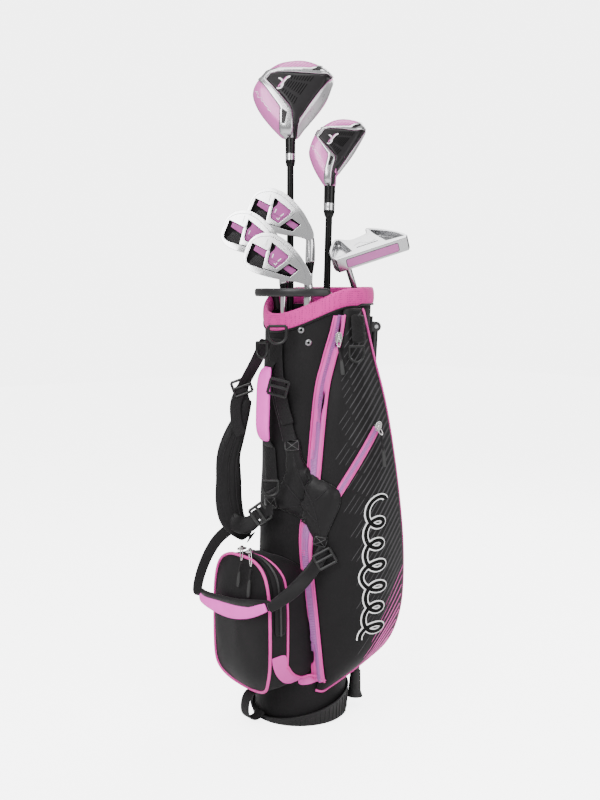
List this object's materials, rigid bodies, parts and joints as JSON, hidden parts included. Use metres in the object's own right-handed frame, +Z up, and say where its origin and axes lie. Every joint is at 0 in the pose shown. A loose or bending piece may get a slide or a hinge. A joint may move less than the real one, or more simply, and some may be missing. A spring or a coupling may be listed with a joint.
{
  "type": "golf club set",
  "caption": "Junior golf set: a padded stand bag with pockets, folding legs and shoulder straps, holding woods, cavity-back irons and a mallet putter.",
  "frame": {"origin": "centre of the base's flat underside, on the floor", "axes": "+Z up, -Y the spine with the carry handle, +Y the stand's legs, +X the large pocket's side; the tube leans towards +Y"},
  "size_m": [0.2754, 0.2812, 1.0452],
  "materials": {
    "base_plastic": "moulded, slightly rough",
    "black_fabric": "tight woven polyester",
    "frame_plastic": "satin moulded",
    "cuff_mesh": "pink spacer mesh",
    "stay_fibre": "glass fibre",
    "panel_fabric": "printed woven polyester",
    "pocket_fabric": "woven polyester",
    "bracket_plastic": "moulded",
    "pin_steel": "bright",
    "rod_steel": "black",
    "guide_plastic": "moulded",
    "pad_fabric": "black satin",
    "pad_pink": "pink fabric",
    "hub_fabric": "black satin",
    "webbing": "ribbed webbing",
    "buckle_plastic": "moulded",
    "ring_plastic": "moulded",
    "handle_pink": "pink fabric",
    "loop_webbing": "ribbed webbing",
    "towel_webbing": "ribbed webbing",
    "towel_ring_plastic": "moulded",
    "rivet_metal": "dark",
    "zip_pink": "woven tape with coil",
    "panel_zip_pink": "woven tape with coil",
    "ball_zip_black": "woven tape with coil",
    "slider_a": "cast",
    "slider_b": "cast",
    "slider_c": "cast",
    "slider_d": "cast",
    "leg_metal": "black",
    "leg_metal_far": "black",
    "foot_rubber": "black",
    "foot_rubber_far": "black",
    "driver_grip_rubber": "textured",
    "driver_shaft_finish": "gloss",
    "driver_ferrule_black": "gloss",
    "driver_head_metal": "satin and painted",
    "wood_grip_rubber": "textured",
    "wood_shaft_finish": "gloss",
    "wood_ferrule_black": "gloss",
    "wood_head_metal": "satin and painted",
    "iron_seven_grip_rubber": "textured",
    "iron_seven_shaft_finish": "gloss",
    "iron_seven_ferrule_black": "gloss",
    "iron_seven_head_metal": "satin and painted",
    "iron_nine_grip_rubber": "textured",
    "iron_nine_shaft_finish": "gloss",
    "iron_nine_ferrule_black": "gloss",
    "iron_nine_head_metal": "satin and painted",
    "wedge_grip_rubber": "textured",
    "wedge_shaft_finish": "gloss",
    "wedge_ferrule_black": "gloss",
    "wedge_head_metal": "satin and painted",
    "putter_grip_rubber": "textured",
    "putter_shaft_finish": "gloss",
    "putter_head_metal": "satin and painted",
    "putter_insert_pink": "satin"
  },
  "bodies": {
    "bag": {"base_cup": "base_plastic", "bag_body": "black_fabric", "top_frame": "frame_plastic", "collar_pad": "cuff_mesh", "stay_rods": "stay_fibre", "apparel_pocket": "panel_fabric", "ball_pocket": "pocket_fabric", "leg_bracket": "bracket_plastic", "leg_pins": "pin_steel", "rod_guides": "guide_plastic", "strap_pad_upper": "pad_fabric", "strap_pad_lower": "pad_pink", "strap_hub": "hub_fabric", "strap_webbing": "webbing", "strap_buckles": "buckle_plastic", "d_rings": "ring_plastic", "carry_handle": "handle_pink", "base_loop": "loop_webbing", "towel_loop": "towel_webbing", "rivets": "rivet_metal", "apparel_zip_tape": "zip_pink", "panel_zip_tape": "panel_zip_pink", "ball_zip_tape": "ball_zip_black"},
    "towel_ring": {"towel_ring": "towel_ring_plastic"},
    "apparel_slider": {"apparel_zip_slider": "slider_a"},
    "panel_slider": {"panel_zip_slider": "slider_b"},
    "ball_slider_a": {"ball_zip_slider_a": "slider_c"},
    "ball_slider_b": {"ball_zip_slider_b": "slider_d"},
    "leg_near": {"leg_near_tube": "leg_metal", "leg_near_foot": "foot_rubber"},
    "leg_far": {"leg_far_tube": "leg_metal_far", "leg_far_foot": "foot_rubber_far"},
    "push_rod": {"push_rod": "rod_steel"},
    "driver": {"driver_grip": "driver_grip_rubber", "driver_shaft": "driver_shaft_finish", "driver_ferrule": "driver_ferrule_black", "driver_head": "driver_head_metal"},
    "wood": {"wood_grip": "wood_grip_rubber", "wood_shaft": "wood_shaft_finish", "wood_ferrule": "wood_ferrule_black", "wood_head": "wood_head_metal"},
    "iron_seven": {"iron_seven_grip": "iron_seven_grip_rubber", "iron_seven_shaft": "iron_seven_shaft_finish", "iron_seven_ferrule": "iron_seven_ferrule_black", "iron_seven_head": "iron_seven_head_metal"},
    "iron_nine": {"iron_nine_grip": "iron_nine_grip_rubber", "iron_nine_shaft": "iron_nine_shaft_finish", "iron_nine_ferrule": "iron_nine_ferrule_black", "iron_nine_head": "iron_nine_head_metal"},
    "wedge": {"wedge_grip": "wedge_grip_rubber", "wedge_shaft": "wedge_shaft_finish", "wedge_ferrule": "wedge_ferrule_black", "wedge_head": "wedge_head_metal"},
    "putter": {"putter_grip": "putter_grip_rubber", "putter_shaft": "putter_shaft_finish", "putter_head": "putter_head_metal", "putter_insert": "putter_insert_pink"}
  },
  "joints": [
    {"name": "driver_lift", "type": "slide", "parent": "bag", "child": "driver", "axis": [-0.0288, 0.0245, 0.9993], "range_m": [0, 0.68]},
    {"name": "wood_lift", "type": "slide", "parent": "bag", "child": "wood", "axis": [0.0063, 0.0283, 0.9996], "range_m": [0, 0.68]},
    {"name": "iron_seven_lift", "type": "slide", "parent": "bag", "child": "iron_seven", "axis": [-0.0052, 0.0342, 0.9994], "range_m": [0, 0.68]},
    {"name": "iron_nine_lift", "type": "slide", "parent": "bag", "child": "iron_nine", "axis": [0.0076, 0.02, 0.9998], "range_m": [0, 0.68]},
    {"name": "wedge_lift", "type": "slide", "parent": "bag", "child": "wedge", "axis": [0.0022, 0.0181, 0.9998], "range_m": [0, 0.68]},
    {"name": "putter_lift", "type": "slide", "parent": "bag", "child": "putter", "axis": [0.0253, 0.068, 0.9974], "range_m": [0, 0.68]},
    {"name": "leg_near_swing", "type": "hinge", "parent": "bag", "child": "leg_near", "pos_m": [0.034, 0.12725, 0.62], "axis": [0.9063, -0.4226, 0], "range_deg": [0, 28], "stiffness_Nm_per_rad": 0.4, "springref_deg": -28.65},
    {"name": "leg_far_swing", "type": "hinge", "parent": "bag", "child": "leg_far", "pos_m": [-0.034, 0.12725, 0.62], "axis": [0.9063, 0.4226, 0], "range_deg": [0, 28], "stiffness_Nm_per_rad": 0.4, "springref_deg": -28.65},
    {"name": "push_rod_slide", "type": "slide", "parent": "bag", "child": "push_rod", "axis": [0, 0.0767, 0.9971], "range_m": [0, 0.014]},
    {"name": "apparel_slider_run", "type": "slide", "parent": "bag", "child": "apparel_slider", "axis": [-0.1691, -0.2165, -0.9615], "range_m": [0, 0.05]},
    {"name": "panel_slider_run", "type": "slide", "parent": "bag", "child": "panel_slider", "axis": [0.0223, -0.6088, -0.793], "range_m": [0, 0.04]},
    {"name": "ball_slider_a_run", "type": "slide", "parent": "bag", "child": "ball_slider_a", "axis": [-1, 0, 0], "range_m": [0, 0.02]},
    {"name": "ball_slider_b_run", "type": "slide", "parent": "bag", "child": "ball_slider_b", "axis": [1, 0, 0], "range_m": [0, 0.02]},
    {"name": "towel_ring_swing", "type": "hinge", "parent": "bag", "child": "towel_ring", "pos_m": [0.11599, 0.01852, 0.592], "axis": [-0.6157, -0.788, 0], "range_deg": [0, 60]}
  ],
  "couplings": [
    {"joint": "leg_far_swing", "follows": "leg_near_swing", "ratio": 1},
    {"joint": "push_rod_slide", "follows": "leg_near_swing", "m_per_rad": 0.02865}
  ]
}
